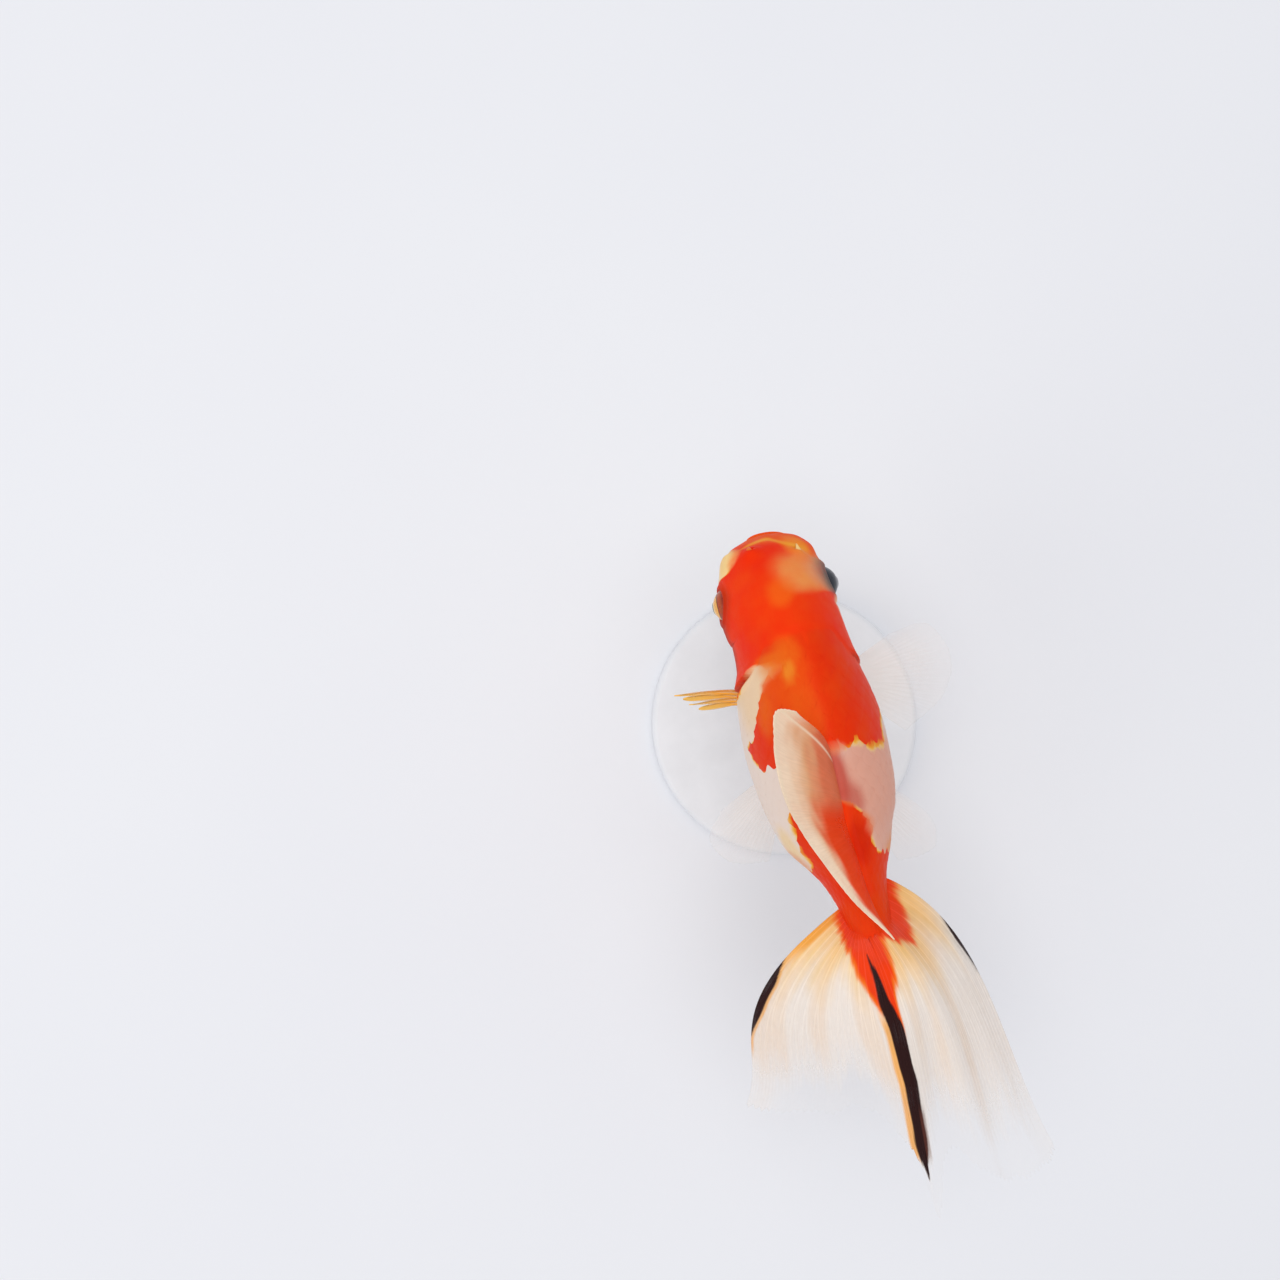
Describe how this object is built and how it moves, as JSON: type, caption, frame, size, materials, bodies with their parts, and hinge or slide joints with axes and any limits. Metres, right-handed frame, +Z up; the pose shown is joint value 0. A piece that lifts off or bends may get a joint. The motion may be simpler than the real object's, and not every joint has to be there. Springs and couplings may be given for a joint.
{
  "type": "goldfish",
  "caption": "Life-size fancy goldfish, red and white with a spread twin tail and leaning dorsal fin, gliding nose down on a small round display stand",
  "frame": {"origin": "centre of the underside of the stand's round base", "axes": "+Z up; the fish heads toward -Y, so its tail streams toward +Y and its left side is +X"},
  "size_m": [0.0517, 0.1135, 0.0746],
  "materials": {
    "scarlet_skin": "wet scaly skin, orange-red",
    "pale_skin": "wet scaly skin, pearly pink-white with orange-red patches",
    "fin": "thin translucent cream membrane on fine rays, edged black",
    "amber_fin": "thin translucent amber membrane on fine rays",
    "eye": "wet dark eye with a gold rim to the iris",
    "stand_base": "satin off-white",
    "stand_rod": "satin steel"
  },
  "bodies": {
    "root": {"head": "scarlet_skin", "lower_jaw": "scarlet_skin", "gill_cover_left": "scarlet_skin", "gill_cover_right": "scarlet_skin", "eye_left": "eye", "eye_right": "eye", "trunk": "pale_skin", "tail_stalk": "scarlet_skin", "dorsal_fin": "fin", "tail_fin_left_upper": "fin", "tail_fin_left_lower": "fin", "tail_fin_right_upper": "fin", "tail_fin_right_lower": "fin", "pectoral_fin_left": "amber_fin", "pectoral_fin_right": "fin", "pelvic_fin_left": "fin", "pelvic_fin_right": "fin", "anal_fin_left": "fin", "anal_fin_right": "fin", "stand_base": "stand_base", "stand_rod": "stand_rod"}
  },
  "joints": []
}
